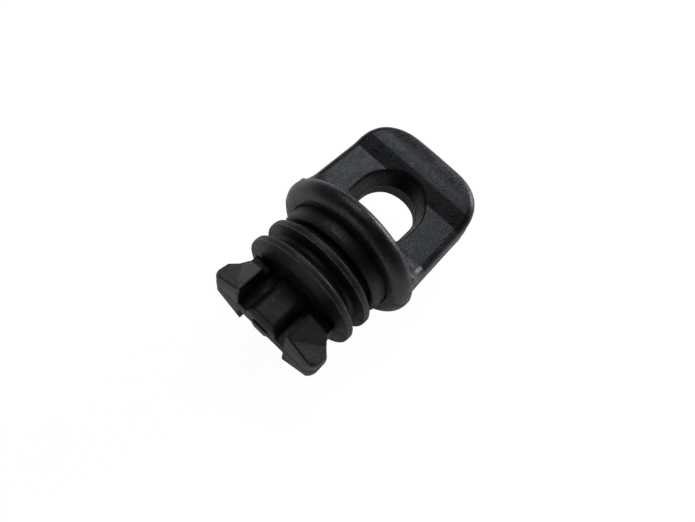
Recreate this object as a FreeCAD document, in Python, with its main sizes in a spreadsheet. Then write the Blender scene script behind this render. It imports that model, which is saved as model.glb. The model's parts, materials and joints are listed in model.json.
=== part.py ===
"""Quarter-turn pull plug: a rubber sleeve, a handle that turns in it and a two-winged head.

The long axis is X, with the origin on it at the middle of the sleeve's collar.  The pull tab
points to +X and lies in the XY plane, the winged head is at -X, and the two mould halves part
in the XY plane.  All sizes are in millimetres and degrees.
"""
import FreeCAD, Part
import Sketcher
import math
import os
from types import SimpleNamespace

DIMENSIONS = {
    # sleeve: collar that fills the panel hole, then ribs with a long ramp and a short fall
    "collar_length": 2.2,
    "collar_tuck": 0.3,
    "collar_radius": 8.1,
    "collar_round": 0.7,
    "root_radius": 6.85,
    "rib_radius": 8.55,
    "rib_count": 2,
    "rib_lead": 1.7,
    "rib_pitch": 3.06,
    "rib_crest_width": 0.9,
    "rib_crest_radius": 1.5,
    "rib_ramp": 1.2,
    "rib_fall": 0.35,
    "nose_radius": 6.05,
    "nose_length": 0.17,
    # fits between the pieces
    "bore_clearance": 0.05,
    "face_gap": 0.1,
    "seat_gap": 0.02,
    # flange and the spindle that runs through the sleeve
    "flange_radius": 10.65,
    "flange_thickness": 3.0,
    "flange_front_round": 1.7,
    "flange_rear_round": 1.25,
    "seat_least_width": 0.3,
    "stem_radius": 2.5,
    "drive_radius": 1.3,
    "drive_half_flat": 0.7,
    "stake_radius": 1.5,
    "stake_flat_radius": 1.1,
    "stake_height": 0.25,
    # pull tab: the gusset is measured from the flange's rear face, the ramp from the tab's end
    "tab_length": 16.8,
    "tab_root_step": 0.65,
    "tab_end_half_width": 9.3,
    "tab_corner_radius": 6.2,
    "tab_end_bow": 0.45,
    "tab_half_thickness": 2.5,
    "tab_edge_round": 1.1,
    "gusset_reach": 2.6,
    "gusset_rise": 1.9,
    "gusset_radius": 4.0,
    "root_inset": 0.1,
    "crease_round": 0.35,
    "ramp_from_end": 7.1,
    "ramp_length": 2.3,
    "ramp_rise": 0.75,
    "bead_run": 1.0,
    "bead_rise": 0.15,
    "bead_radius": 6.5,
    "tab_end_half_thickness": 2.0,
    # eye in the tab, from the flange's rear face, with its own draft on each side of the parting plane
    "eye_start": 2.8,
    "eye_centre": 6.2,
    "eye_half_width": 4.05,
    "eye_corner_radius": 1.5,
    "eye_upper_draft": 18.0,
    "eye_lower_draft": 2.0,
    "eye_edge_round": 0.3,
    # winged head: lengths are measured from its back face toward the tip
    "head_length": 6.05,
    "head_neck_half_width": 6.65,
    "wing_start": 1.4,
    "wing_overhang": 0.05,
    "wing_flare": 1.85,
    "wing_shoulder_round": 0.5,
    "wing_tip_radius": 1.4,
    "head_half_height": 5.2,
    "cheek_half_width": 3.95,
    "cheek_slope": 1.12,
    "wing_slope": 0.61,
    "crease_tip_half_width": 4.08,
    "crease_spread": 0.86,
    "wing_edge_round": 0.45,
    "neck_half_height": 1.8,
    "neck_length": 1.3,
    "neck_slope_run": 0.6,
    "bevel_run": 0.3,
    "bevel_drop": 1.45,
    "web_half_height": 1.0,
    "core_half_width": 2.4,
    "core_half_height": 2.6,
    "core_round": 1.2,
    "core_bevel": 0.6,
    "core_undercut": 0.8,
    # how far a cutting profile runs past the material that it cuts
    "overcut": 1.0,
}


class Size:
    """A size with the formula that ties it to the sheet."""

    def __init__(self, formula, value):
        self.formula = formula
        self.value = value

    def __add__(self, other):
        return Size("(%s + %s)" % (self.formula, other.formula), self.value + other.value)

    def __sub__(self, other):
        return Size("(%s - %s)" % (self.formula, other.formula), self.value - other.value)

    def __mul__(self, other):
        return Size("(%s * %s)" % (self.formula, other.formula), self.value * other.value)

    def __neg__(self):
        return Size("(-%s)" % self.formula, -self.value)

    def half(self):
        return Size("(%s / 2)" % self.formula, self.value / 2)

    def root(self):
        return Size("sqrt(%s)" % self.formula, math.sqrt(self.value))

    def at_most(self, limit):
        return Size("min(%s; %s)" % (self.formula, limit.formula), min(self.value, limit.value))


ZERO = Size("0", 0.0)
ONE = Size("1", 1.0)


def make_sheet(doc):
    """Put every driving dimension in the sheet and give them back as sizes."""
    sheet = doc.addObject("Spreadsheet::Sheet", "dims")
    sizes = SimpleNamespace()
    for row, (name, value) in enumerate(DIMENSIONS.items(), start=1):
        sheet.set("A%d" % row, name)
        sheet.set("B%d" % row, str(value))
        sheet.setAlias("B%d" % row, name)
        setattr(sizes, name, Size("dims." + name, value))
    doc.recompute()
    return sizes


def work_out_places(d):
    """Places along the axis, each worked out from the pieces before it."""
    p = SimpleNamespace()
    p.collar_front = -d.collar_length.half()
    p.collar_rear = d.collar_length.half() + d.collar_tuck
    p.first_crest = p.collar_front - d.rib_lead
    last_crest = p.first_crest - d.rib_pitch * (d.rib_count - ONE)
    p.nose_start = last_crest - d.rib_crest_width.half() - d.rib_fall
    p.nose_end = p.nose_start - d.nose_length
    p.flange_front = d.collar_length.half()
    p.recess_floor = p.collar_rear + d.face_gap
    p.flange_rear = p.flange_front + d.flange_thickness
    p.flange_middle = p.flange_front + d.flange_thickness.half()
    p.tab_end = p.flange_rear + d.tab_length
    p.ramp_start = p.tab_end - d.ramp_from_end
    p.tab_root_half_width = d.flange_radius - d.tab_root_step
    p.wing_half_span = d.rib_radius + d.wing_overhang
    p.head_back = p.nose_end - d.face_gap
    p.stem_end = p.head_back + d.seat_gap
    p.head_tip = p.head_back - d.head_length
    p.stake_seat = p.head_tip - d.seat_gap
    p.stake_end = p.stake_seat - d.stake_height
    return p


def pin(sketch, kind, side, point, size):
    """Hold one coordinate of a sketch point at a size."""
    if size is ZERO:
        axis = -2 if kind == "DistanceX" else -1
        sketch.addConstraint(Sketcher.Constraint("PointOnObject", side, point, axis))
        return
    index = sketch.addConstraint(Sketcher.Constraint(kind, side, point, size.value))
    sketch.setExpression("Constraints[%d]" % index, size.formula)


def add_arc(sketch, start, end, radius, turn):
    """Arc from start to end: turn 1 bulges to the right of the way along it, -1 to the left."""
    chord = end - start
    half = chord.Length / 2
    reach = math.sqrt(max(radius.value ** 2 - half ** 2, 0.0))
    left = FreeCAD.Vector(-chord.y, chord.x, 0).normalize()
    centre = (start + end) * 0.5 + left * (reach * turn)
    begin, finish = (start, end) if turn > 0 else (end, start)
    first_angle = math.atan2(begin.y - centre.y, begin.x - centre.x)
    last_angle = math.atan2(finish.y - centre.y, finish.x - centre.x)
    circle = Part.Circle(centre, FreeCAD.Vector(0, 0, 1), radius.value)
    side = sketch.addGeometry(Part.ArcOfCircle(circle, first_angle, last_angle))
    index = sketch.addConstraint(Sketcher.Constraint("Radius", side, radius.value))
    sketch.setExpression("Constraints[%d]" % index, radius.formula)
    return (side, 1, 2) if turn > 0 else (side, 2, 1)


def draw_loop(sketch, corners):
    """Closed loop through corners (u, v); (u, v, radius, turn) starts an arc to the next one."""
    sides = []
    for here, there in zip(corners, corners[1:] + corners[:1]):
        start = FreeCAD.Vector(here[0].value, here[1].value, 0)
        end = FreeCAD.Vector(there[0].value, there[1].value, 0)
        if len(here) == 4:
            sides.append(add_arc(sketch, start, end, here[2], here[3]))
        else:
            side = sketch.addGeometry(Part.LineSegment(start, end))
            sides.append((side, 1, 2))
    for this, following in zip(sides, sides[1:] + sides[:1]):
        joint = Sketcher.Constraint("Coincident", this[0], this[2], following[0], following[1])
        sketch.addConstraint(joint)
    for (side, first, _), corner in zip(sides, corners):
        pin(sketch, "DistanceX", side, first, corner[0])
        pin(sketch, "DistanceY", side, first, corner[1])


def draw(body, name, plane, loops):
    """Sketch of closed loops on one of the body's own origin planes."""
    support = [item for item in body.Origin.OriginFeatures if item.Role == plane][0]
    sketch = body.newObject("Sketcher::SketchObject", name)
    sketch.AttachmentSupport = (support, [""])
    sketch.MapMode = "FlatFace"
    for corners in loops:
        draw_loop(sketch, corners)
    return sketch


def mirrored(corners, across, down):
    """Mirror image of a loop, across the sketch's vertical axis, below its level axis or both."""
    image = []
    for corner in corners:
        flipped = (-corner[0] if across else corner[0], -corner[1] if down else corner[1])
        if len(corner) == 4:
            flipped = flipped + (corner[2], corner[3] if across == down else -corner[3])
        image.append(flipped)
    return image


def upper_and_lower(corners):
    return [corners, mirrored(corners, False, True)]


def settle(feature):
    """Recompute and stop at the feature that failed."""
    feature.Document.recompute()
    if "Invalid" in feature.State or "Error" in feature.State or feature.Shape.isNull():
        raise RuntimeError("%s failed" % feature.Label)
    return feature


def revolve(body, name, corners):
    """Solid turned about the X axis from a half profile."""
    sketch = draw(body, name + "_sketch", "XY_Plane", [corners])
    feature = body.newObject("PartDesign::Revolution", name)
    feature.Profile = sketch
    feature.ReferenceAxis = (sketch, ["H_Axis"])
    feature.Angle = 360
    return settle(feature)


def pad_both_ways(body, name, plane, loops, half_height):
    """Material on both sides of an origin plane."""
    feature = body.newObject("PartDesign::Pad", name)
    feature.Profile = draw(body, name + "_sketch", plane, loops)
    feature.SideType = "Symmetric"
    feature.setExpression("Length", (half_height + half_height).formula)
    return settle(feature)


def pocket_both_ways(body, name, plane, loops, half_height):
    """Cut on both sides of an origin plane, checked to have taken something away."""
    before = body.Shape.Volume
    feature = body.newObject("PartDesign::Pocket", name)
    feature.Profile = draw(body, name + "_sketch", plane, loops)
    feature.SideType = "Symmetric"
    feature.setExpression("Length", (half_height + half_height).formula)
    settle(feature)
    check_cut(body, name, before)
    return feature


def check_cut(body, name, before):
    if not body.Shape.Volume < before:
        raise RuntimeError("%s cuts nothing" % name)


def cut_along(body, name, corners, stations):
    """Straight cut that takes one profile through stations, each a place along X and a shift."""
    before = body.Shape.Volume
    sketches = []
    for number, (place, shift_y, shift_z) in enumerate(stations, start=1):
        moved = [(corner[0] + shift_y, corner[1] + shift_z) for corner in corners]
        sketch = draw(body, "%s_sketch_%d" % (name, number), "YZ_Plane", [moved])
        sketch.setExpression("AttachmentOffset.Base.z", place.formula)
        sketches.append(settle(sketch))
    feature = body.newObject("PartDesign::SubtractiveLoft", name)
    feature.Profile = sketches[0]
    feature.Sections = sketches[1:]
    feature.Ruled = True
    settle(feature)
    check_cut(body, name, before)


def dress(body, kind, name, edges, size_name, size):
    """Round or bevel the edges of the body that a test picks."""
    numbered = enumerate(body.Shape.Edges, start=1)
    chosen = ["Edge%d" % number for number, edge in numbered if edges(edge)]
    if not chosen:
        raise RuntimeError("%s finds no edge" % name)
    base = body.Tip
    feature = body.newObject("PartDesign::" + kind, name)
    feature.Base = (base, chosen)
    feature.setExpression(size_name, size.formula)
    return settle(feature)


def fillet(body, name, edges, radius):
    return dress(body, "Fillet", name, edges, "Radius", radius)


def close(first, second):
    return abs(first - second) < 0.01


def middle_of(edge):
    return edge.valueAt((edge.FirstParameter + edge.LastParameter) / 2)


def is_ring(edge, place, radius):
    """True for a circle about the long axis at a place along it."""
    box = edge.BoundBox
    flat = close(box.XMin, place.value) and close(box.XMax, place.value)
    return flat and close(box.ZMax, radius.value)


def is_along(edge, axis):
    """True for a straight edge along X, Y or Z."""
    box = edge.BoundBox
    spans = {"X": box.XLength, "Y": box.YLength, "Z": box.ZLength}
    others = [span for name, span in spans.items() if name != axis]
    return spans[axis] > 0.1 and max(others) < 0.01


def make_sleeve(doc, d, p):
    """Rubber sleeve: collar, ribs and the bore that the spindle turns in."""
    body = doc.addObject("PartDesign::Body", "ribbed_sleeve")
    bore = d.stem_radius + d.bore_clearance
    revolve(body, "sleeve_core", [
        (p.nose_end, bore),
        (p.collar_rear, bore),
        (p.collar_rear, d.collar_radius),
        (p.collar_front, d.collar_radius),
        (p.collar_front, d.root_radius),
        (p.nose_start, d.root_radius),
        (p.nose_end, d.nose_radius),
    ])
    wall_middle = (bore + d.root_radius).half()
    half_crest = d.rib_crest_width.half()
    crest_centre = d.rib_radius - d.rib_crest_radius
    shoulder = crest_centre + (d.rib_crest_radius * d.rib_crest_radius - half_crest * half_crest).root()
    rib = revolve(body, "rib", [
        (p.first_crest - half_crest - d.rib_fall, wall_middle),
        (p.first_crest + half_crest + d.rib_ramp, wall_middle),
        (p.first_crest + half_crest + d.rib_ramp, d.root_radius),
        (p.first_crest + half_crest, shoulder, d.rib_crest_radius, 1),
        (p.first_crest - half_crest, shoulder),
        (p.first_crest - half_crest - d.rib_fall, d.root_radius),
    ])
    ribs = body.newObject("PartDesign::LinearPattern", "ribs")
    ribs.Originals = [rib]
    ribs.Direction = ([item for item in body.Origin.OriginFeatures if item.Role == "X_Axis"][0], [""])
    ribs.Reversed = True
    ribs.setExpression("Length", (d.rib_pitch * (d.rib_count - ONE)).formula)
    ribs.setExpression("Occurrences", d.rib_count.formula)
    body.Tip = ribs
    settle(ribs)
    fillet(body, "collar_rounding", lambda edge: is_ring(edge, p.collar_front, d.collar_radius),
           d.collar_round)
    return body


def make_tab(body, d, p):
    """Pull tab: flat plate with a gusset at the flange and a raised bead at its far end."""
    gusset_top = d.tab_half_thickness + d.gusset_rise
    bow_radius_doubled = d.tab_end_half_width * d.tab_end_half_width + d.tab_end_bow * d.tab_end_bow
    bow_radius = Size(
        "(%s / (2 * %s))" % (bow_radius_doubled.formula, d.tab_end_bow.formula),
        bow_radius_doubled.value / (2 * d.tab_end_bow.value),
    )
    pad_both_ways(body, "tab_plate", "XY_Plane", [[
        (p.flange_middle, -p.tab_root_half_width),
        (p.tab_end - d.tab_end_bow, -d.tab_end_half_width, bow_radius, 1),
        (p.tab_end - d.tab_end_bow, d.tab_end_half_width),
        (p.flange_middle, p.tab_root_half_width),
    ]], gusset_top)
    ramp_end = p.ramp_start + d.ramp_length
    ramp_top = d.tab_half_thickness + d.ramp_rise
    above = gusset_top + d.overcut
    pocket_both_ways(body, "tab_faces", "XZ_Plane", upper_and_lower([
        (p.flange_rear, gusset_top, d.gusset_radius, 1),
        (p.flange_rear + d.gusset_reach, d.tab_half_thickness),
        (p.ramp_start, d.tab_half_thickness),
        (ramp_end, ramp_top),
        (ramp_end + d.bead_run, ramp_top + d.bead_rise, d.bead_radius, -1),
        (p.tab_end + d.overcut.half(), d.tab_end_half_thickness),
        (p.tab_end + d.overcut, d.tab_end_half_thickness),
        (p.tab_end + d.overcut, above),
        (p.flange_rear, above),
    ]), p.tab_root_half_width + d.overcut)
    fillet(body, "tab_corners", lambda edge: is_along(edge, "Z") and (
        edge.BoundBox.XMin > p.ramp_start.value), d.tab_corner_radius)
    creases = (p.flange_rear + d.gusset_reach, p.ramp_start, ramp_end, ramp_end + d.bead_run)
    fillet(body, "tab_creases", lambda edge: is_along(edge, "Y") and any(
        close(middle_of(edge).x, place.value) for place in creases), d.crease_round)
    fillet(body, "tab_edges", lambda edge: is_tab_outline(edge, d, p), d.tab_edge_round)


def is_tab_outline(edge, d, p):
    """True for the upper and lower edges of the tab's side and end walls."""
    point = middle_of(edge)
    if edge.BoundBox.XMax <= p.flange_rear.value + 0.01 or is_along(edge, "Z"):
        return False
    outside = abs(point.y) > d.tab_end_half_width.value - d.tab_corner_radius.value
    at_end = point.x > p.tab_end.value - d.tab_corner_radius.value
    across = edge.BoundBox.YLength > p.tab_root_half_width.value and not at_end
    return (outside or at_end) and not across


def trim_root(body, d, p):
    """Turn the corners of the tab's root down to just inside the flange's rim."""
    before = body.Shape.Volume
    inside = d.flange_radius - d.root_inset
    outside = d.flange_radius + d.gusset_rise + d.overcut
    feature = body.newObject("PartDesign::Groove", "root_trim")
    feature.Profile = draw(body, "root_trim_sketch", "XY_Plane", [[
        (p.flange_front, inside),
        (p.flange_rear + d.gusset_reach, inside),
        (p.flange_rear + d.gusset_reach, outside),
        (p.flange_front, outside),
    ]])
    feature.ReferenceAxis = (feature.Profile[0], ["H_Axis"])
    feature.Angle = 360
    settle(feature)
    check_cut(body, "root_trim", before)


def cut_eye(body, d, p):
    """Eye for a cord or a finger nail: a round arch on a straight base."""
    centre = p.flange_rear + d.eye_centre
    start = p.flange_rear + d.eye_start
    radius = d.eye_half_width
    corner = d.eye_corner_radius
    halves = (("eye_upper", True, d.eye_upper_draft), ("eye_lower", False, d.eye_lower_draft))
    for name, reversed_way, draft in halves:
        before = body.Shape.Volume
        sketch = draw(body, name + "_sketch", "XY_Plane", [[
            (start + corner, -radius),
            (centre, -radius, radius, 1),
            (centre + radius, ZERO, radius, 1),
            (centre, radius),
            (start + corner, radius, corner, 1),
            (start, radius - corner),
            (start, corner - radius, corner, 1),
        ]])
        feature = body.newObject("PartDesign::Pocket", name)
        feature.Profile = sketch
        feature.Reversed = reversed_way
        feature.setExpression("Length", (d.tab_half_thickness + d.gusset_rise + d.overcut).formula)
        feature.setExpression("TaperAngle", draft.formula)
        settle(feature)
        check_cut(body, name, before)
    fillet(body, "eye_edges", lambda edge: is_eye_edge(edge, d, p), d.eye_edge_round)


def is_eye_edge(edge, d, p):
    """True for the edges where the eye's wall meets the tab's faces."""
    box = edge.BoundBox
    centre = p.flange_rear + d.eye_centre
    reach = 1.5 * d.eye_half_width.value
    near = max(abs(box.YMin), abs(box.YMax), box.XMax - centre.value, centre.value - box.XMin) < reach
    across = box.YLength > d.eye_half_width.value and is_along(edge, "Y")
    return near and abs(middle_of(edge).z) > d.tab_half_thickness.value / 2 and not across


def make_spindle(body, d, p):
    """Flange, stem and drive end, turned in one, with the drive's flats cut after."""
    rear_round = d.flange_rear_round
    front_round = d.flange_front_round.at_most(
        d.flange_radius - d.collar_radius - d.seat_gap - d.seat_least_width)
    revolve(body, "flange_and_stem", [
        (p.stake_end, ZERO),
        (p.flange_rear, ZERO),
        (p.flange_rear, d.flange_radius - rear_round, rear_round, 1),
        (p.flange_rear - rear_round, d.flange_radius),
        (p.flange_front + front_round, d.flange_radius, front_round, 1),
        (p.flange_front, d.flange_radius - front_round),
        (p.flange_front, d.collar_radius + d.face_gap),
        (p.recess_floor, d.collar_radius + d.face_gap),
        (p.recess_floor, d.stem_radius),
        (p.stem_end, d.stem_radius),
        (p.stem_end, d.drive_radius),
        (p.stake_seat, d.drive_radius),
        (p.stake_seat, d.stake_radius),
        (p.stake_end, d.stake_flat_radius),
    ])
    past_end = p.stake_end - d.overcut
    pocket_both_ways(body, "drive_flats", "XZ_Plane", upper_and_lower([
        (past_end, d.drive_half_flat),
        (p.stem_end, d.drive_half_flat),
        (p.stem_end, d.stem_radius + d.overcut),
        (past_end, d.stem_radius + d.overcut),
    ]), d.stem_radius + d.overcut)


def make_handle(doc, d, p):
    """Handle: pull tab with its eye, flange and spindle."""
    body = doc.addObject("PartDesign::Body", "handle")
    make_tab(body, d, p)
    trim_root(body, d, p)
    cut_eye(body, d, p)
    make_spindle(body, d, p)
    return body


def make_head(doc, d, p):
    """Winged head: two wings on a core with pockets above and below a middle web."""
    body = doc.addObject("PartDesign::Body", "bayonet_head")
    flare_end = p.head_back - d.wing_start - d.wing_flare
    pad_both_ways(body, "wings", "XY_Plane", [[
        (p.head_back, -d.head_neck_half_width),
        (p.head_back, d.head_neck_half_width),
        (p.head_back - d.wing_start, d.head_neck_half_width),
        (flare_end, p.wing_half_span),
        (p.head_tip + d.wing_tip_radius, p.wing_half_span, d.wing_tip_radius, 1),
        (p.head_tip, p.wing_half_span - d.wing_tip_radius),
        (p.head_tip, d.wing_tip_radius - p.wing_half_span, d.wing_tip_radius, 1),
        (p.head_tip + d.wing_tip_radius, -p.wing_half_span),
        (flare_end, -p.wing_half_span),
        (p.head_back - d.wing_start, -d.head_neck_half_width),
    ]], d.head_half_height)
    fillet(body, "wing_shoulders", lambda edge: is_along(edge, "Z") and close(
        edge.BoundBox.XMax, flare_end.value), d.wing_shoulder_round)
    slope_wings(body, d, p)
    bevel_tip(body, d, p)
    thin_neck(body, d, p)
    hollow_head(body, d, p)
    add_core(body, d, p)
    fillet(body, "wing_rims", lambda edge: is_wing_rim(edge, d, p), d.wing_edge_round)
    return body


def is_wing_rim(edge, d, p):
    """True for the outer rims of the wings, where their slopes meet the side walls."""
    middle = middle_of(edge)
    outside = abs(middle.y) > (d.head_neck_half_width + d.wing_flare.half()).value
    behind_bevel = middle.x > (p.head_tip + d.bevel_run.half()).value
    sloping = abs(middle.z) > d.web_half_height.value and not is_along(edge, "Z")
    return outside and behind_bevel and sloping


def slope_wings(body, d, p):
    """Cut each wing down to two planes that meet in a crease, which spreads toward the flange."""
    crease_height = d.head_half_height - d.cheek_slope * (d.crease_tip_half_width - d.cheek_half_width)
    cheek_reach = p.wing_half_span - d.cheek_half_width + d.overcut
    wing_reach = p.wing_half_span
    top = crease_height + d.cheek_slope * cheek_reach
    corners = [
        (d.crease_tip_half_width, crease_height),
        (d.crease_tip_half_width + wing_reach, crease_height - d.wing_slope * wing_reach),
        (d.crease_tip_half_width + wing_reach, top),
        (d.crease_tip_half_width - cheek_reach, top),
    ]
    tip_spread = d.crease_spread * d.overcut
    back_spread = d.crease_spread * (d.head_length + d.overcut)
    for name, across, down in (
        ("upper_right_wing", False, False),
        ("upper_left_wing", True, False),
        ("lower_right_wing", False, True),
        ("lower_left_wing", True, True),
    ):
        stations = []
        past_tip = p.head_tip - d.overcut
        past_back = p.head_back + d.overcut
        for place, spread in ((past_tip, -tip_spread), (past_back, back_spread)):
            shift_z = -(d.cheek_slope * spread)
            stations.append((place, -spread if across else spread, -shift_z if down else shift_z))
        cut_along(body, name, mirrored(corners, across, down), stations)


def bevel_tip(body, d, p):
    """Steep bevel along the upper and lower edges of the tip face."""
    outside = p.wing_half_span + d.overcut
    edge_height = d.head_half_height - d.wing_slope * (outside - d.cheek_half_width)
    above = d.head_half_height + d.bevel_drop + d.bevel_drop + d.overcut
    corners = [
        (-outside, edge_height),
        (-d.cheek_half_width, d.head_half_height),
        (d.cheek_half_width, d.head_half_height),
        (outside, edge_height),
        (outside, above),
        (-outside, above),
    ]
    inside = p.head_tip + d.bevel_run + d.bevel_run
    past_tip = p.head_tip - d.bevel_run
    drop = d.bevel_drop + d.bevel_drop
    cut_along(body, "upper_tip_bevel", corners, [(inside, ZERO, d.bevel_drop), (past_tip, ZERO, -drop)])
    cut_along(body, "lower_tip_bevel", mirrored(corners, False, True), [
        (inside, ZERO, -d.bevel_drop),
        (past_tip, ZERO, drop),
    ])


def thin_neck(body, d, p):
    """Drop the upper and lower faces to a low neck in front of the sleeve."""
    above = d.head_half_height + d.overcut
    past_back = p.head_back + d.overcut
    neck_end = p.head_back - d.neck_length
    pocket_both_ways(body, "neck_faces", "XZ_Plane", upper_and_lower([
        (past_back, d.neck_half_height),
        (past_back, above),
        (neck_end - d.neck_slope_run, above),
        (neck_end - d.neck_slope_run, d.head_half_height),
        (neck_end, d.neck_half_height),
    ]), p.wing_half_span + d.overcut)


def hollow_head(body, d, p):
    """Pockets between the cheeks, above and below the middle web, open at both ends."""
    above = d.head_half_height + d.overcut
    past_back = p.head_back + d.overcut
    past_tip = p.head_tip - d.overcut
    pocket_both_ways(body, "pockets", "XZ_Plane", upper_and_lower([
        (past_back, d.web_half_height),
        (past_back, above),
        (past_tip, above),
        (past_tip, d.web_half_height),
    ]), d.cheek_half_width)


def add_core(body, d, p):
    """Core along the axis, bevelled at the tip above and undercut below, with the drive's hole."""
    top = d.core_half_height
    pad_both_ways(body, "core", "XZ_Plane", [[
        (p.head_back, -top),
        (p.head_back, top),
        (p.head_tip + d.core_bevel, top),
        (p.head_tip, top - d.core_bevel),
        (p.head_tip, ZERO),
        (p.head_tip + d.core_undercut, -top),
    ]], d.core_half_width)
    fillet(body, "core_rounding", lambda edge: is_along(edge, "X") and close(
        abs(middle_of(edge).z), top.value) and close(abs(middle_of(edge).y), d.core_half_width.value),
        d.core_round)
    radius = d.drive_radius + d.seat_gap
    flat = d.drive_half_flat + d.seat_gap
    width = (radius * radius - flat * flat).root()
    pocket_both_ways(body, "drive_hole", "YZ_Plane", [[
        (-width, -flat),
        (width, -flat, radius, 1),
        (width, flat),
        (-width, flat, radius, 1),
    ]], d.overcut - p.head_tip)


def check(doc):
    """Stop unless every object and every sub-part is sound."""
    for item in doc.Objects:
        if "Invalid" in item.State or "Error" in item.State:
            raise RuntimeError("%s is %s" % (item.Label, item.State))


def main():
    doc = FreeCAD.newDocument("quarter_turn_plug")
    sizes = make_sheet(doc)
    places = work_out_places(sizes)
    pieces = [
        make_sleeve(doc, sizes, places),
        make_handle(doc, sizes, places),
        make_head(doc, sizes, places),
    ]
    doc.recompute()
    check(doc)
    os.makedirs("parts", exist_ok=True)
    for piece in pieces:
        if piece.Shape.isNull() or not piece.Shape.isValid() or len(piece.Shape.Solids) != 1:
            raise RuntimeError("%s is not one sound solid" % piece.Label)
        piece.Shape.exportStep(os.path.join("parts", piece.Label + ".step"))
        box = piece.Shape.BoundBox
        print(piece.Label, round(piece.Shape.Volume, 2), box)


main()
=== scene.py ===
"""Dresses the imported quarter-turn plug: black rubber and plastic finishes, mould marks and stage."""
import json
import math

import bpy
from bpy.props import FloatProperty, FloatVectorProperty, PointerProperty
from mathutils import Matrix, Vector

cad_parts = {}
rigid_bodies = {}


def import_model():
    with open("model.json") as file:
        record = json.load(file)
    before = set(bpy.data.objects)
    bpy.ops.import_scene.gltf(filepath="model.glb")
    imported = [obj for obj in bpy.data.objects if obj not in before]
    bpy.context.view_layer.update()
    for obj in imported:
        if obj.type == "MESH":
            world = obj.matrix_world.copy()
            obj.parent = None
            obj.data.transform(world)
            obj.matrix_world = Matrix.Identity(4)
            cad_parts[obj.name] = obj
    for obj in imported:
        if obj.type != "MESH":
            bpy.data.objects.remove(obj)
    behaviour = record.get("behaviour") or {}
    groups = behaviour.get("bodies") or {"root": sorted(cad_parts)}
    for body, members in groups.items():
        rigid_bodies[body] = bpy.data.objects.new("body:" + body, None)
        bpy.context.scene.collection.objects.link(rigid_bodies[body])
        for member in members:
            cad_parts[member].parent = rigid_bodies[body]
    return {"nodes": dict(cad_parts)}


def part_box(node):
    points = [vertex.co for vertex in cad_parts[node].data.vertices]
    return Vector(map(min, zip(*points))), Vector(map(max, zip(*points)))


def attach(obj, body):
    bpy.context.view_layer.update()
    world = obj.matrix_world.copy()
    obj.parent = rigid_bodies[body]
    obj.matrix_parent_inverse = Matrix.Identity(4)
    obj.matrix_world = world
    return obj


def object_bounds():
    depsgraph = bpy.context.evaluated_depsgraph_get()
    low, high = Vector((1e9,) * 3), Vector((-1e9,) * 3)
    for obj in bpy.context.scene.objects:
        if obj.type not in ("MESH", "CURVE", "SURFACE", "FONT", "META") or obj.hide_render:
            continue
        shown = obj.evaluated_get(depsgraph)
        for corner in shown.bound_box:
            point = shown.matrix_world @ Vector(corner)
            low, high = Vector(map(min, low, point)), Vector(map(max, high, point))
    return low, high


bl_info = {
    "name": "Quarter-turn plug dresser",
    "version": (1, 0, 0),
    "blender": (4, 5, 0),
    "location": "3D View > Sidebar > Plug",
    "description": "Finishes, mould marks and stage for a quarter-turn pull plug",
    "category": "Object",
}

MM = 0.001
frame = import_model()
CAD_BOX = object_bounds()
SLEEVE_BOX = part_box("ribbed_sleeve")
HEAD_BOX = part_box("bayonet_head")
RIB_RADIUS = SLEEVE_BOX[1].z
RIB_HEIGHT = 0.45 * MM
COLLAR_RADIUS = RIB_RADIUS - RIB_HEIGHT
COLLAR_TUCK = 0.3 * MM
FLANGE_FRONT = SLEEVE_BOX[1].x - COLLAR_TUCK

# texture scales, in noise cells per metre
MOTTLE_SCALE = 420.0
SMEAR_SCALE = 1500.0
BLOOM_PATCH_SCALE = 190.0
BLOOM_FLECK_SCALE = 5200.0
SCUFF_PATCH_SCALE = 260.0
SCUFF_STREAK_SCALE = 3200.0
# the next two break up the painted highlight lines on the rib crests' corners and the flange's lip
RIB_CORNER_HIGHLIGHT_SCALE = 700.0
LIP_HIGHLIGHT_SCALE = 500.0
GLINT_FINENESS = 1.3  # times as fine as the grain

# how much lighter and darker than its colour a moulded surface gets
LIGHT_SHADE = 1.5
DARK_SHADE = 0.7

# how much of the dust colour each kind of wear, and each painted highlight line, shows
BLOOM_AMOUNT = 0.05
SPECK_AMOUNT = 0.8
SCUFF_AND_HIGHLIGHT_AMOUNT = 0.22
LIP_HIGHLIGHT_AMOUNT = 0.16
RIB_CORNER_HIGHLIGHT_SHARE = 0.9  # of the scuffs' amount, for the painted highlight lines along the crests' corners

SPECK_SPACING = 3.2 * MM
SPECK_RADIUS = 0.085 * MM
SPECK_CORE = 0.4  # of its radius, where a speck is at full strength
GLOSS_SWING = 0.05  # of roughness, up and down
WAVE_DEPTH = 0.02 * MM
MERGE_DISTANCE = 0.001 * MM

# where flash shows: how far behind the flange's front and from where along the tab,
# how far out from the axis on the sleeve and the head, and how far short of the head's rear
HANDLE_FLASH_GAP = 0.05 * MM
TAB_FLASH_START = 6 * MM
SLEEVE_FLASH_START = 5 * MM
HEAD_FLASH_START = 2 * MM
HEAD_FLASH_GAP = 0.1 * MM

# the gate's place on the tip and the roughness of its break
GATE_ASIDE = 0.5 * MM
GATE_DOWN = 0.15 * MM
TORN_SIZE = 0.45 * MM
TORN_DEPTH = 0.35 * MM

# the stage, in metres and degrees
FLOOR_SIZE = 3.0
FLOOR_GAP = 0.02 * MM
WALL_RADIUS = 1.2
WALL_HEIGHT = 0.6
SEEN_SHADE = 0.18  # of a backdrop's colour, where the camera sees it under its glow
OPEN_SKY_REACH = 30 * MM
OPEN_SKY_POWER = 3.0
WHITE = (1, 1, 1, 1)
CARD_COLOUR = (1, 1, 0.96)
CAMERA_PLACE = (-0.033997, -0.018917, 0.088703)
CAMERA_TURN_DEG = (22.8843, -7.3335, -46.7545)
CAMERA_NEAREST = 1 * MM
SENSOR_WIDTH = 36.0


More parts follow.
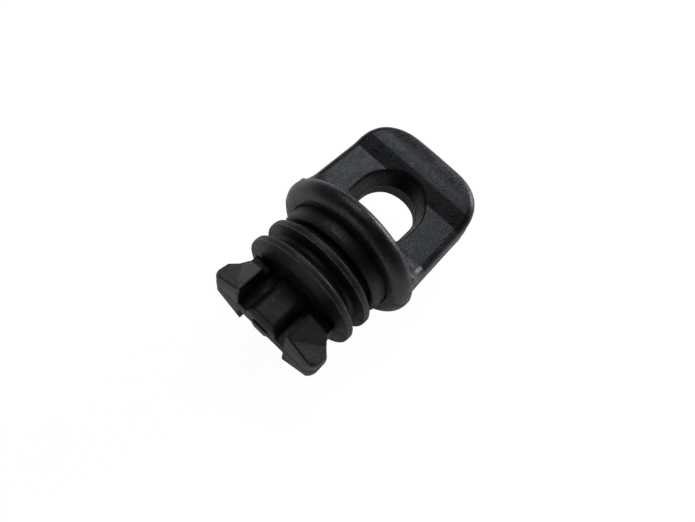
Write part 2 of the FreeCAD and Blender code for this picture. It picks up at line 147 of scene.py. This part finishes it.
def colour_property(name, description, default):
    return FloatVectorProperty(
        name=name, description=description, default=default, subtype="COLOR", size=3, min=0, max=1)


def length_property(name, description, default):
    return FloatProperty(name=name, description=description, default=default, unit="LENGTH", min=0)


def power_property(name, description, default):
    return FloatProperty(name=name, description=description, default=default, unit="POWER")


class PlugFinish(bpy.types.PropertyGroup):
    """Colours and textures of the moulded pieces."""

    handle_colour: colour_property("Handle", "Colour of the handle", (0.0105, 0.0108, 0.0125))
    sleeve_colour: colour_property("Sleeve", "Colour of the rubber sleeve", (0.010, 0.0098, 0.0095))
    head_colour: colour_property("Head", "Colour of the winged head", (0.012, 0.0119, 0.0117))
    # the dust colour also paints the highlight lines on the rib crests' corners and the flange's lip
    dust_and_highlight_colour: colour_property("Dust and highlights", "Colour of specks, scuffs and painted highlight lines", (0.55, 0.55, 0.53))
    edge_round: length_property("Edge rounding", "Softness of the moulded edges", 0.16 * MM)
    grain_size: length_property("Grain size", "Size of the fine moulded grain", 0.27 * MM)
    grain_depth: length_property("Grain depth", "Depth of the fine moulded grain", 0.038 * MM)


class PlugMarks(bpy.types.PropertyGroup):
    """Marks left by the mould."""

    flash_radius: length_property("Flash", "Radius of the bead along the parting line", 0.04 * MM)
    gate_width: length_property("Gate width", "Width of the broken gate at the tip", 2.2 * MM)
    gate_height: length_property("Gate height", "Height of the broken gate at the tip", 1.1 * MM)
    gate_stand: length_property("Gate stand", "How far the broken gate stands out", 0.22 * MM)


class PlugStage(bpy.types.PropertyGroup):
    """Floor, backdrop, lamps and camera."""

    floor_colour: colour_property("Floor", "Colour of the floor", (0.8, 0.8, 0.73))
    wall_colour: colour_property("Backdrop", "Colour of the backdrop", (0.78, 0.78, 0.77))
    key_colour: colour_property("Lamp colour", "Colour of the large lamp and the low lamp", (0.86, 0.92, 1.0))
    key_power: power_property("Key power", "Power of the large lamp", 0.22)
    low_power: power_property("Low power", "Power of the low lamp", 0.55)
    card_power: power_property("Card power", "Light off the front card", 0.13)
    sky_strength: FloatProperty(
        name="Sky", description="Strength of the plain light all round", default=0.05, min=0, max=2)
    lens: FloatProperty(name="Lens", description="Focal length in millimetres", default=38.924)


def deselect_all():
    if bpy.context.object and bpy.context.object.mode != "OBJECT":
        bpy.ops.object.mode_set(mode="OBJECT")
    bpy.ops.object.select_all(action="DESELECT")


def make_active(piece):
    deselect_all()
    piece.select_set(True)
    bpy.context.view_layer.objects.active = piece


def rename(piece, name):
    piece.name = name
    piece.data.name = name


def put_on(piece, material):
    """Give a piece one material in place of those it has."""
    piece.data.materials.clear()
    piece.data.materials.append(material)


# ---------------------------------------------------------------- materials

class Nodes:
    """A material's node tree, with short calls to add and join nodes."""

    def __init__(self, name):
        self.material = bpy.data.materials.new(name)
        self.material.use_nodes = True
        self.tree = self.material.node_tree
        self.surface = self.tree.nodes["Principled BSDF"]

    def add(self, kind, settings=None, **sockets):
        node = self.tree.nodes.new("ShaderNode" + kind)
        for key, value in (settings or {}).items():
            setattr(node, key, value)
        for key, value in sockets.items():
            self.join(node.inputs[key.replace("_", " ")], value)
        return node

    def join(self, socket, value):
        if isinstance(value, bpy.types.NodeSocket):
            self.tree.links.new(value, socket)
        else:
            socket.default_value = value

    def noise(self, place, scale, detail=3.0, roughness=0.55):
        node = self.add("TexNoise", Vector=place, Scale=scale, Detail=detail, Roughness=roughness)
        return node.outputs[0]

    def ramp(self, value, start, end, low=0.0, high=1.0):
        """Value run from low to high between start and end, smoothly."""
        node = self.add("MapRange", {"interpolation_type": "SMOOTHSTEP"})
        for index, item in enumerate((value, start, end, low, high)):
            self.join(node.inputs[index], item)
        return node.outputs[0]

    def patches(self, place, scale, start, end, detail=3.0, roughness=0.55, low=0.0):
        """Noise sharpened into patches: low before one level of it, and 1 past the other."""
        return self.ramp(self.noise(place, scale, detail, roughness), start, end, low)

    def maths(self, operation, first, second=0.0):
        node = self.add("Math", {"operation": operation})
        self.join(node.inputs[0], first)
        self.join(node.inputs[1], second)
        return node.outputs[0]

    def product(self, first, *others):
        for other in others:
            first = self.maths("MULTIPLY", first, other)
        return first

    def mix_colour(self, factor, first, second):
        """Mix of two colours, which are sockets 6 and 7 on this node, with the result in socket 2."""
        node = self.add("Mix", {"data_type": "RGBA"})
        self.join(node.inputs["Factor"], factor)
        self.join(node.inputs[6], first)
        self.join(node.inputs[7], second)
        return node.outputs[2]


def opaque(colour, shade=1.0):
    """A colour times a shade, with the alpha that a colour socket needs."""
    return (colour[0] * shade, colour[1] * shade, colour[2] * shade, 1.0)


def radius_from_axis(nodes, place):
    """Distance of the shaded point from the long axis."""
    apart = nodes.add("SeparateXYZ", Vector=place)
    across = nodes.product(apart.outputs["Y"], apart.outputs["Y"])
    upward = nodes.product(apart.outputs["Z"], apart.outputs["Z"])
    return nodes.maths("SQRT", nodes.maths("ADD", across, upward))


def dust_specks(nodes, place):
    """Sparse pale specks, in about a quarter of the cells of a coarse cell pattern."""
    cells = nodes.add("TexVoronoi", Vector=place, Scale=1.0 / SPECK_SPACING, Randomness=1.0)
    edge = SPECK_RADIUS / SPECK_SPACING
    core = SPECK_CORE * SPECK_RADIUS / SPECK_SPACING
    near = nodes.ramp(cells.outputs["Distance"], edge, core)
    pick = nodes.add("SeparateColor", Color=cells.outputs["Color"])
    chosen = nodes.ramp(pick.outputs[0], start=0.72, end=0.74)
    return nodes.product(near, chosen)


def moulded_finish(name, colour, finish, roughness, sparkle, specular, softness):
    """Black moulded surface with fine grain, uneven gloss, faint mottling, dust and soft edges."""
    nodes = Nodes(name)
    place = nodes.add("TexCoord").outputs["Object"]
    mottle = nodes.noise(place, MOTTLE_SCALE, detail=4.0, roughness=0.6)
    smear = nodes.noise(place, SMEAR_SCALE, detail=3.0, roughness=0.6)
    grain = nodes.noise(place, 1.0 / finish.grain_size, detail=2.0, roughness=0.7)
    glint_scale = GLINT_FINENESS / finish.grain_size
    glint = nodes.patches(place, glint_scale, start=0.54, end=0.70, detail=1.0, roughness=0.5)

    shade = nodes.ramp(mottle, start=0.35, end=0.68)
    base = nodes.mix_colour(shade, opaque(colour, DARK_SHADE), opaque(colour, LIGHT_SHADE))
    patch = nodes.patches(place, BLOOM_PATCH_SCALE, start=0.5, end=0.68, detail=2.0)
    fleck = nodes.patches(place, BLOOM_FLECK_SCALE, start=0.5, end=0.7, detail=2.0, roughness=0.7)
    bloom = nodes.product(patch, fleck, BLOOM_AMOUNT)
    specks = nodes.product(dust_specks(nodes, place), SPECK_AMOUNT)
    base = nodes.mix_colour(nodes.maths("MAXIMUM", specks, bloom), base, opaque(finish.dust_and_highlight_colour))
    nodes.join(nodes.surface.inputs["Base Color"], base)

    broad = nodes.ramp(mottle, start=0.3, end=0.7, low=-GLOSS_SWING, high=GLOSS_SWING)
    fine = nodes.ramp(smear, start=0.3, end=0.7, low=-GLOSS_SWING, high=GLOSS_SWING)
    uneven = nodes.maths("SUBTRACT", nodes.maths("ADD", broad, fine), nodes.product(glint, sparkle))
    nodes.join(nodes.surface.inputs["Roughness"], nodes.maths("ADD", uneven, roughness))
    nodes.join(nodes.surface.inputs["Specular IOR Level"], specular)

    normal = nodes.add("Bevel", {"samples": 12}, Radius=finish.edge_round * softness).outputs[0]
    for height, depth in ((grain, finish.grain_depth), (mottle, WAVE_DEPTH)):
        relief = nodes.add("Bump", Strength=1.0, Distance=depth, Height=height, Normal=normal)
        normal = relief.outputs[0]
    nodes.join(nodes.surface.inputs["Normal"], normal)
    return nodes, place, base


def show_wear_and_highlight(nodes, base, finish, pale_overlay_mask):
    """Lay the dust colour over the base where the surface shows wear, and where a highlight line is painted.
    """
    pale_overlaid_base = nodes.mix_colour(pale_overlay_mask, base, opaque(finish.dust_and_highlight_colour))
    nodes.join(nodes.surface.inputs["Base Color"], pale_overlaid_base)


def scuff_ribs_and_paint_crest_lines(nodes, place, base, finish):
    """Pale scuffs on the crests of the ribs, and thin painted highlight lines along the crests' corners."""
    radius = radius_from_axis(nodes, place)

    def below_crest(start, end):
        """Mask that grows from one depth below the crests to another."""
        return nodes.ramp(radius, RIB_RADIUS - start, RIB_RADIUS - end)

    on_crest = below_crest(0.28 * MM, 0.05 * MM)
    patch = nodes.patches(place, SCUFF_PATCH_SCALE, start=0.52, end=0.66, detail=2.0)
    streak = nodes.patches(place, SCUFF_STREAK_SCALE, start=0.5, end=0.72, roughness=0.7)
    scuff = nodes.product(on_crest, patch, streak)
    # painted highlight lines: a thin band just under the top of each crest, broken into pieces
    above_slope = below_crest(0.13 * MM, 0.10 * MM)
    below_land = below_crest(0.02 * MM, 0.05 * MM)
    broken = nodes.patches(place, RIB_CORNER_HIGHLIGHT_SCALE, start=0.36, end=0.6, low=0.25)
    corner = nodes.product(above_slope, below_land, nodes.product(broken, RIB_CORNER_HIGHLIGHT_SHARE))
    show_wear_and_highlight(nodes, base, finish, nodes.product(nodes.maths("MAXIMUM", scuff, corner), SCUFF_AND_HIGHLIGHT_AMOUNT))


def paint_lip_highlight(nodes, place, base, finish):
    """Painted highlight line on the lip of the flange, where it closes round the collar."""
    radius = radius_from_axis(nodes, place)
    along = nodes.add("SeparateXYZ", Vector=place).outputs["X"]
    # painted highlight line on the flange's lip next to the collar, broken into pieces
    near_collar = nodes.ramp(radius, COLLAR_RADIUS + 0.16 * MM, COLLAR_RADIUS + 0.08 * MM)
    at_front = nodes.ramp(along, FLANGE_FRONT + 0.06 * MM, FLANGE_FRONT + 0.02 * MM)
    broken = nodes.patches(place, LIP_HIGHLIGHT_SCALE, start=0.42, end=0.6)
    show_wear_and_highlight(nodes, base, finish, nodes.product(near_collar, at_front, broken, LIP_HIGHLIGHT_AMOUNT))


class PLUG_OT_handle(bpy.types.Operator):
    """Give the handle its grainy black plastic, with a painted highlight line on the flange's lip"""

    bl_idname = "plug.handle"
    bl_label = "Handle finish"

    def execute(self, context):
        finish = context.scene.plug_finish
        nodes, place, base = moulded_finish(
            "handle_black", finish.handle_colour, finish,
            roughness=0.39, sparkle=0.25, specular=0.5, softness=2.2)
        # painted highlight line on the flange's lip
        paint_lip_highlight(nodes, place, base, finish)
        put_on(frame["nodes"]["handle"], nodes.material)
        return {"FINISHED"}


class PLUG_OT_sleeve(bpy.types.Operator):
    """Give the ribbed sleeve its matte rubber with scuffed crests and painted highlight lines along them"""

    bl_idname = "plug.sleeve"
    bl_label = "Sleeve finish"

    def execute(self, context):
        finish = context.scene.plug_finish
        nodes, place, base = moulded_finish(
            "sleeve_black", finish.sleeve_colour, finish,
            roughness=0.48, sparkle=0.08, specular=0.45, softness=0.6)
        # scuffs, and painted highlight lines along the crests' corners
        scuff_ribs_and_paint_crest_lines(nodes, place, base, finish)
        put_on(frame["nodes"]["ribbed_sleeve"], nodes.material)
        return {"FINISHED"}


class PLUG_OT_head(bpy.types.Operator):
    """Give the winged head its satin black plastic"""

    bl_idname = "plug.head"
    bl_label = "Head finish"

    def execute(self, context):
        finish = context.scene.plug_finish
        nodes, _, _ = moulded_finish(
            "head_black", finish.head_colour, finish,
            roughness=0.46, sparkle=0.1, specular=0.42, softness=3.0)
        put_on(frame["nodes"]["bayonet_head"], nodes.material)
        return {"FINISHED"}


# ---------------------------------------------------------------- mould marks

def copy_of(node_name, piece_name):
    """Merged copy of a CAD node as a free piece, without the custom properties of the node."""
    make_active(frame["nodes"][node_name])
    bpy.ops.object.duplicate()
    piece = bpy.context.object
    bpy.ops.object.parent_clear(type="CLEAR_KEEP_TRANSFORM")
    rename(piece, piece_name)
    for key in list(piece.keys()):
        del piece[key]
    bpy.ops.object.mode_set(mode="EDIT")
    bpy.ops.mesh.select_all(action="SELECT")
    bpy.ops.mesh.remove_doubles(threshold=MERGE_DISTANCE)
    bpy.ops.object.mode_set(mode="OBJECT")
    return piece


def keep_vertices(piece, wanted):
    """Delete the vertices that a test doesn't want."""
    bpy.ops.object.mode_set(mode="EDIT")
    bpy.ops.mesh.select_mode(type="VERT")
    bpy.ops.mesh.select_all(action="DESELECT")
    bpy.ops.object.mode_set(mode="OBJECT")
    for vertex in piece.data.vertices:
        vertex.select = not wanted(vertex.co)
    bpy.ops.object.mode_set(mode="EDIT")
    bpy.ops.mesh.delete(type="VERT")
    bpy.ops.object.mode_set(mode="OBJECT")


def flash_along(node_name, piece_name, wanted, radius):
    """Fine bead along a node's outline in the parting plane."""
    piece = copy_of(node_name, piece_name)
    bpy.ops.object.mode_set(mode="EDIT")
    bpy.ops.mesh.select_all(action="SELECT")
    bpy.ops.mesh.bisect(plane_co=(0, 0, 0), plane_no=(0, 0, 1), clear_inner=True, clear_outer=True)
    bpy.ops.object.mode_set(mode="OBJECT")
    keep_vertices(piece, wanted)
    make_active(piece)
    bpy.ops.object.convert(target="CURVE")
    line = bpy.context.object.data
    line.bevel_depth = radius
    line.bevel_resolution = 1
    line.use_fill_caps = True
    bpy.ops.object.convert(target="MESH")
    piece = bpy.context.object
    rename(piece, piece_name)
    return piece


def dress_piece(piece, material_name, body):
    put_on(piece, bpy.data.materials[material_name])
    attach(piece, body)


class PLUG_OT_flash(bpy.types.Operator):
    """Add the fine flash that the two mould halves leave where they part"""

    bl_idname = "plug.flash"
    bl_label = "Parting lines"

    def execute(self, context):
        radius = context.scene.plug_marks.flash_radius
        clear_of_collar = SLEEVE_BOX[1].y

        def on_handle(point):
            outside = abs(point.y) > clear_of_collar or point.x > TAB_FLASH_START
            return outside and point.x > FLANGE_FRONT + HANDLE_FLASH_GAP

        def on_sleeve(point):
            return abs(point.y) > SLEEVE_FLASH_START and point.x < FLANGE_FRONT

        def on_head(point):
            return abs(point.y) > HEAD_FLASH_START and point.x < HEAD_BOX[1].x - HEAD_FLASH_GAP

        pieces = (
            ("handle", "handle_flash", on_handle, "handle_black", "key", "handle_plastic"),
            ("ribbed_sleeve", "sleeve_flash", on_sleeve, "sleeve_black", "sleeve", "sleeve_rubber"),
            ("bayonet_head", "head_flash", on_head, "head_black", "key", "head_plastic"),
        )
        for node_name, piece_name, wanted, material_name, body, slot in pieces:
            piece = flash_along(node_name, piece_name, wanted, radius)
            dress_piece(piece, material_name, body)
        return {"FINISHED"}


class PLUG_OT_gate(bpy.types.Operator):
    """Add the rough stump of the broken gate at the tip"""

    bl_idname = "plug.gate"
    bl_label = "Gate mark"

    def execute(self, context):
        marks = context.scene.plug_marks
        deselect_all()
        bpy.ops.mesh.primitive_ico_sphere_add(subdivisions=5, radius=1.0, location=(0, 0, 0))
        piece = bpy.context.object
        rename(piece, "gate_stump")
        piece.scale = (marks.gate_stand, marks.gate_width / 2, marks.gate_height / 2)
        piece.location = (HEAD_BOX[0].x, GATE_ASIDE, -GATE_DOWN)
        bpy.ops.object.transform_apply(location=True, rotation=False, scale=True)
        torn = bpy.data.textures.new("torn_gate", "CLOUDS")
        torn.noise_scale = TORN_SIZE
        torn.noise_depth = 3
        rough = piece.modifiers.new("torn", "DISPLACE")
        rough.texture = torn
        rough.texture_coords = "LOCAL"
        rough.strength = TORN_DEPTH
        rough.mid_level = 0.5
        bpy.ops.object.modifier_apply(modifier="torn")
        bpy.ops.object.shade_smooth()
        dress_piece(piece, "head_black", "key")
        return {"FINISHED"}


# ---------------------------------------------------------------- stage

def backdrop_material(name, colour, glow, gleam):
    """Plain matte colour; glow is the white that the camera sees, gleam what reflections see.

    The gleam fades close to the plug, where the plug itself hides the sky.
    """
    nodes = Nodes(name)
    tree = nodes.tree
    tree.nodes.remove(nodes.surface)
    ray = nodes.add("LightPath").outputs
    straight = nodes.maths("MAXIMUM", ray["Is Camera Ray"], ray["Is Transmission Ray"])
    shade = nodes.mix_colour(straight, opaque(colour), opaque(colour, SEEN_SHADE))
    matte = nodes.add("BsdfDiffuse", Color=shade)
    open_sky = nodes.add("AmbientOcclusion", {"samples": 8}, Distance=OPEN_SKY_REACH).outputs["AO"]
    reflected = nodes.product(nodes.maths("POWER", open_sky, OPEN_SKY_POWER), gleam)
    gleaming = nodes.product(ray["Is Glossy Ray"], reflected)
    strength = nodes.maths("ADD", nodes.product(straight, glow), gleaming)
    light = nodes.add("Emission", Color=WHITE, Strength=strength)
    both = nodes.add("AddShader")
    tree.links.new(matte.outputs[0], both.inputs[0])
    tree.links.new(light.outputs[0], both.inputs[1])
    tree.links.new(both.outputs[0], tree.nodes["Material Output"].inputs["Surface"])
    return nodes.material


def add_lamp(name, direction, distance, size, power, colour):
    """Square lamp in a direction from the plug, facing it."""
    place = Vector(direction).normalized() * distance
    turn = (-place).to_track_quat("-Z", "Y").to_euler()
    bpy.ops.object.light_add(type="AREA", location=place, rotation=turn)
    rename(bpy.context.object, name)
    lamp = bpy.context.object.data
    lamp.shape = "SQUARE"
    lamp.size = size
    lamp.energy = power
    lamp.color = colour


class PLUG_OT_stage(bpy.types.Operator):
    """Set up the floor, the backdrop, the lamps and the camera"""

    bl_idname = "plug.stage"
    bl_label = "Stage"

    def execute(self, context):
        stage = context.scene.plug_stage
        ground = CAD_BOX[0].z - FLOOR_GAP
        deselect_all()
        bpy.ops.mesh.primitive_plane_add(size=FLOOR_SIZE, location=(0, 0, ground))
        floor = bpy.context.object
        floor.name = "floor"
        put_on(floor, backdrop_material("floor_white", stage.floor_colour, glow=0.97, gleam=0.45))
        deselect_all()
        bpy.ops.mesh.primitive_cylinder_add(
            vertices=96, radius=WALL_RADIUS, depth=WALL_HEIGHT, end_fill_type="NOTHING",
            location=(0, 0, ground + WALL_HEIGHT / 2))
        wall = bpy.context.object
        wall.name = "backdrop"
        bpy.ops.object.shade_smooth()
        put_on(wall, backdrop_material("backdrop_white", stage.wall_colour, glow=0.95, gleam=0.08))

        add_lamp(
            "key_lamp", direction=(0.42, 0.33, 0.84), distance=0.32, size=0.16,
            power=stage.key_power, colour=stage.key_colour)
        add_lamp(
            "low_lamp", direction=(0.93, -0.22, 0.25), distance=0.32, size=0.13,
            power=stage.low_power, colour=stage.key_colour)
        add_lamp(
            "front_card", direction=(-0.9, 0.2, 0.38), distance=0.4, size=0.18,
            power=stage.card_power, colour=CARD_COLOUR)

        world = bpy.data.worlds.new("plain_sky")
        context.scene.world = world
        world.use_nodes = True
        sky = world.node_tree.nodes["Background"]
        sky.inputs["Color"].default_value = WHITE
        sky.inputs["Strength"].default_value = stage.sky_strength

        turn = [math.radians(angle) for angle in CAMERA_TURN_DEG]
        bpy.ops.object.camera_add(location=CAMERA_PLACE, rotation=turn)
        camera = context.object
        camera.name = "camera"
        camera.data.lens = stage.lens
        camera.data.sensor_width = SENSOR_WIDTH
        camera.data.clip_start = CAMERA_NEAREST
        context.scene.camera = camera
        context.scene.view_settings.view_transform = "Standard"
        return {"FINISHED"}


class PLUG_PT_panel(bpy.types.Panel):
    """Sizes, colours and steps of the plug"""

    bl_idname = "PLUG_PT_panel"
    bl_label = "Plug"
    bl_space_type = "VIEW_3D"
    bl_region_type = "UI"
    bl_category = "Plug"

    def draw(self, context):
        scene = context.scene
        for group in (scene.plug_finish, scene.plug_marks, scene.plug_stage):
            box = self.layout.box()
            for name in group.bl_rna.properties.keys():
                if name not in ("rna_type", "name"):
                    box.prop(group, name)
        for step in STEPS:
            self.layout.operator(step.bl_idname)


GROUPS = {"plug_finish": PlugFinish, "plug_marks": PlugMarks, "plug_stage": PlugStage}
STEPS = (PLUG_OT_handle, PLUG_OT_sleeve, PLUG_OT_head, PLUG_OT_flash, PLUG_OT_gate, PLUG_OT_stage)
CLASSES = tuple(GROUPS.values()) + STEPS + (PLUG_PT_panel,)


def register():
    for item in CLASSES:
        bpy.utils.register_class(item)
    for name, group in GROUPS.items():
        setattr(bpy.types.Scene, name, PointerProperty(type=group))


def unregister():
    for name in GROUPS:
        delattr(bpy.types.Scene, name)
    for item in reversed(CLASSES):
        bpy.utils.unregister_class(item)


def main():
    register()
    bpy.ops.plug.handle()
    bpy.ops.plug.sleeve()
    bpy.ops.plug.head()
    bpy.ops.plug.flash()
    bpy.ops.plug.gate()
    bpy.ops.plug.stage()


if __name__ == "__main__":
    main()
